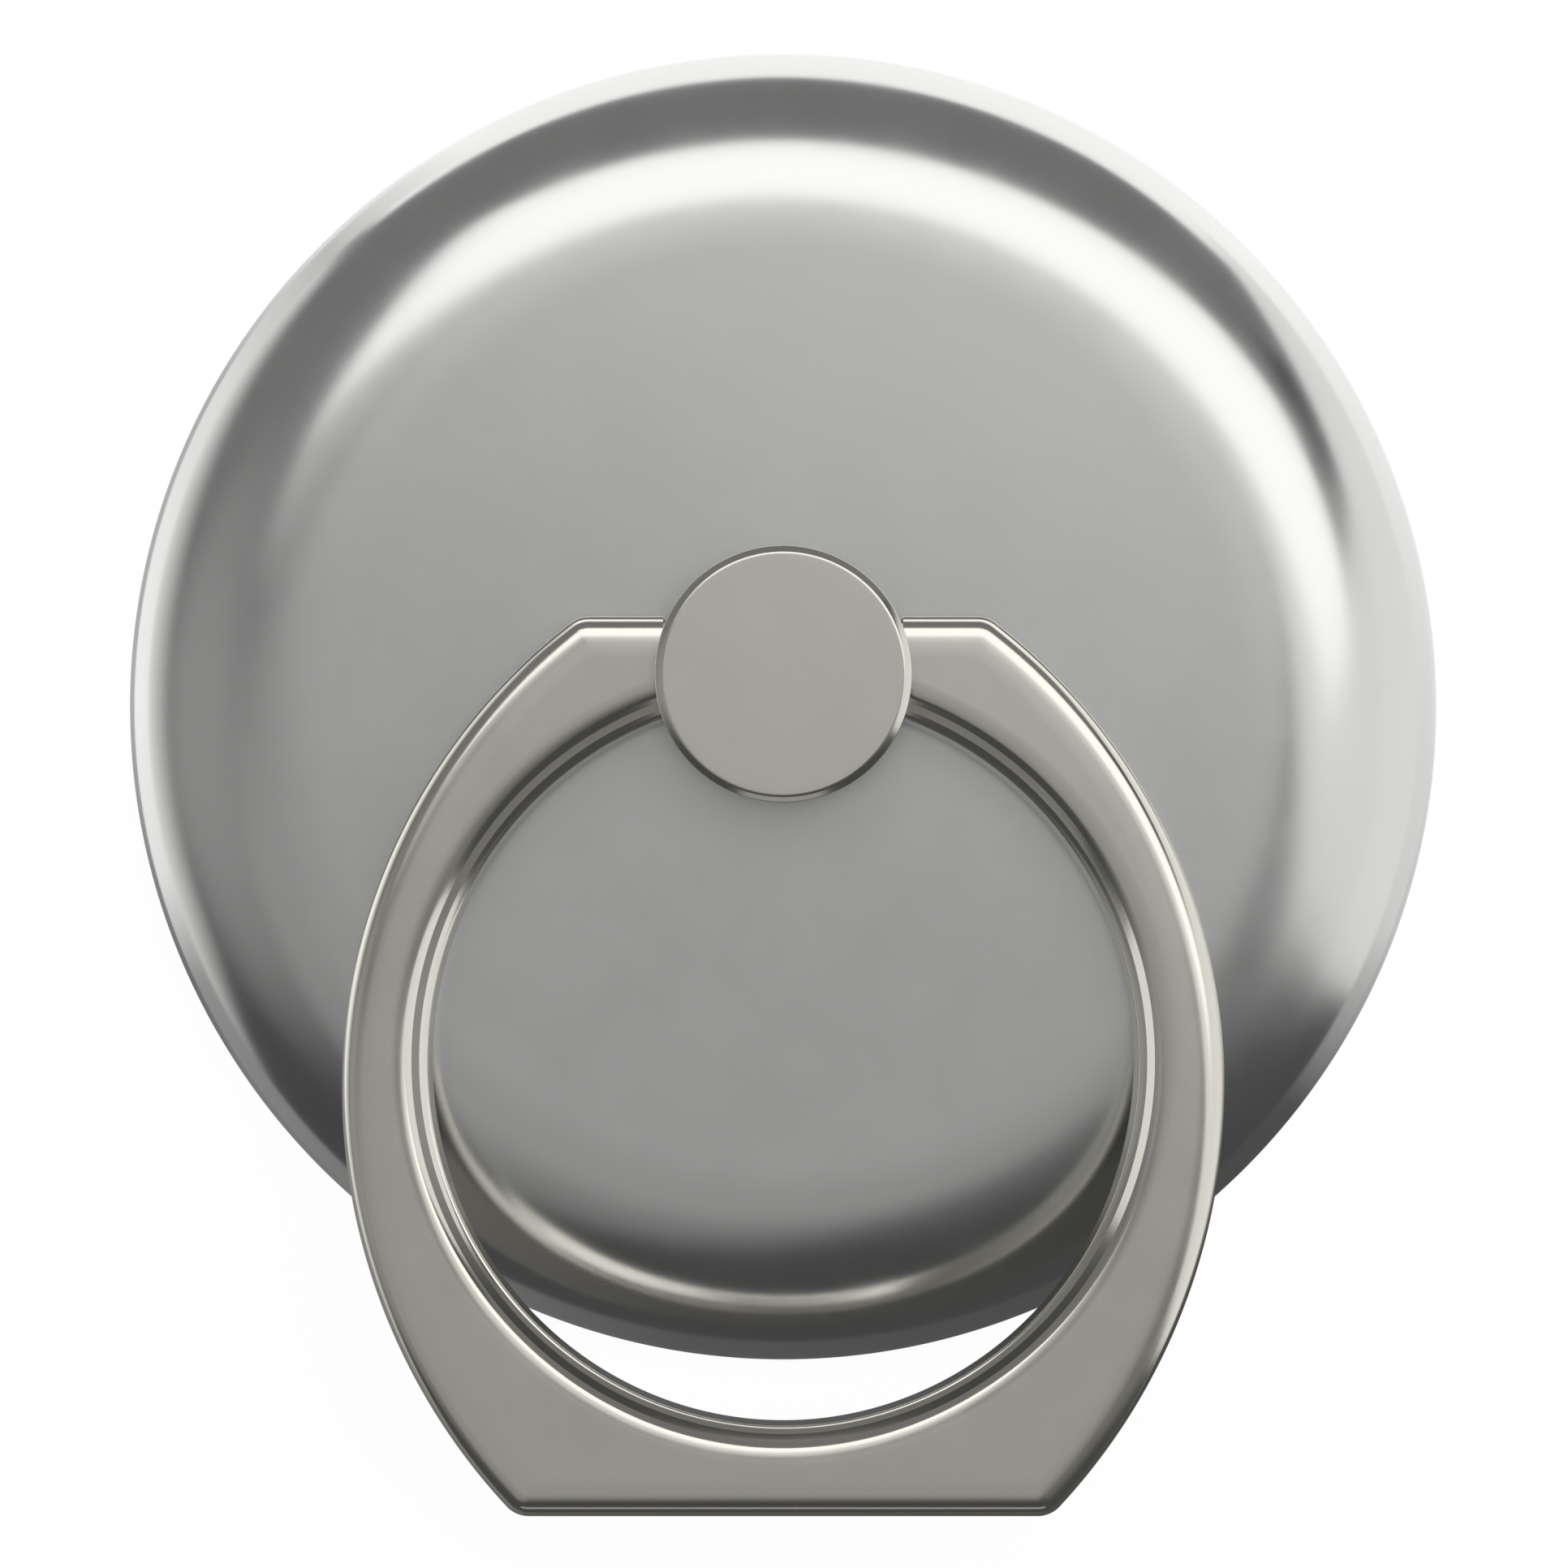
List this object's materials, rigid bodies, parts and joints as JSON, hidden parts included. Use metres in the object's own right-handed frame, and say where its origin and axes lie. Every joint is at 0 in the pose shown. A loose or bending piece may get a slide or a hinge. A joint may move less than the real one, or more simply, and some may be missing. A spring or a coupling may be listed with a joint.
{
  "type": "phone ring holder",
  "caption": "Round metal plate with an adhesive back and a swivelling hub that carries a fold-flat finger ring, used as a grip and stand on a phone.",
  "frame": {"origin": "middle of the adhesive face, which lies against the phone", "axes": "+Z away from the phone, normal to the plate; the folded ring points towards -Y; the hinge axis lies along X"},
  "size_m": [0.039, 0.0436, 0.0081],
  "materials": {
    "plate_metal": "satin",
    "ring_metal": "satin",
    "cap_metal": "satin",
    "hub_metal": "satin",
    "spring_steel": "polished",
    "washer_plastic": "satin",
    "foam_tape": "matte"
  },
  "bodies": {
    "base": {"base_plate": "plate_metal", "adhesive_pad": "foam_tape", "slide_washer": "washer_plastic", "disc_spring": "spring_steel"},
    "hub": {"hub_body": "hub_metal", "hub_cap": "cap_metal", "friction_shoe": "washer_plastic", "shoe_spring": "spring_steel", "thrust_washer": "spring_steel", "retaining_clip": "spring_steel"},
    "ring": {"finger_ring": "ring_metal"}
  },
  "joints": [
    {"name": "hub_swivel", "type": "hinge", "parent": "base", "child": "hub", "pos_m": [0, 0.00095, 0], "axis": [0, 0, 1], "continuous": true},
    {"name": "ring_tilt", "type": "hinge", "parent": "hub", "child": "ring", "pos_m": [0, 0.00095, 0.00548], "axis": [-1, 0, 0], "range_deg": [0, 180]}
  ]
}
